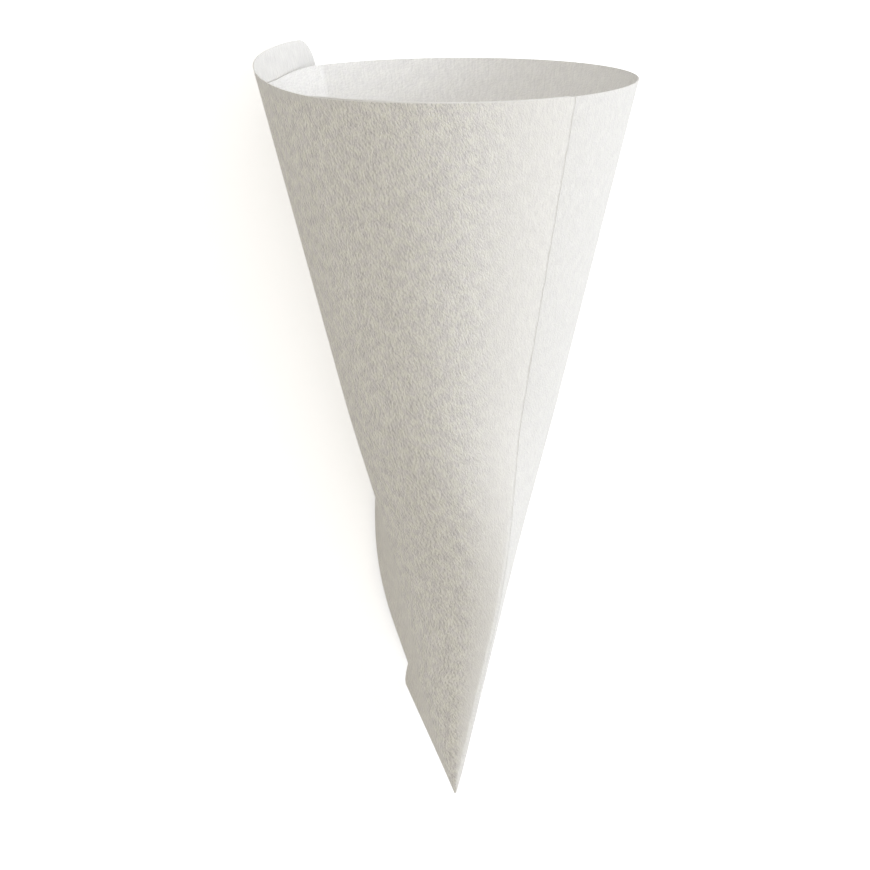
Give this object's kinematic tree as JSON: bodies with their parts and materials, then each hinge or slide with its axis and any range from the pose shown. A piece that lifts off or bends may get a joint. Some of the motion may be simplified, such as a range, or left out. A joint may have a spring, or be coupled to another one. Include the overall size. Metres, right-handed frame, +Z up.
{
  "type": "paper coffee filter",
  "caption": "Cone coffee filter folded from one half-moon sheet of paper, opened with layers lying on one side, a raised tab at the rim and a small flap near the point.",
  "frame": {"origin": "centre of the box's bottom, on the table the filter lies on", "axes": "+Z up, +Y from the cone's point towards its open rim, +X to the right when looking into the cone from behind its point"},
  "size_m": [0.0838, 0.1698, 0.0811],
  "materials": {
    "paper": "matte, finely creped"
  },
  "bodies": {
    "root": {"filter_paper": "paper"}
  },
  "joints": []
}
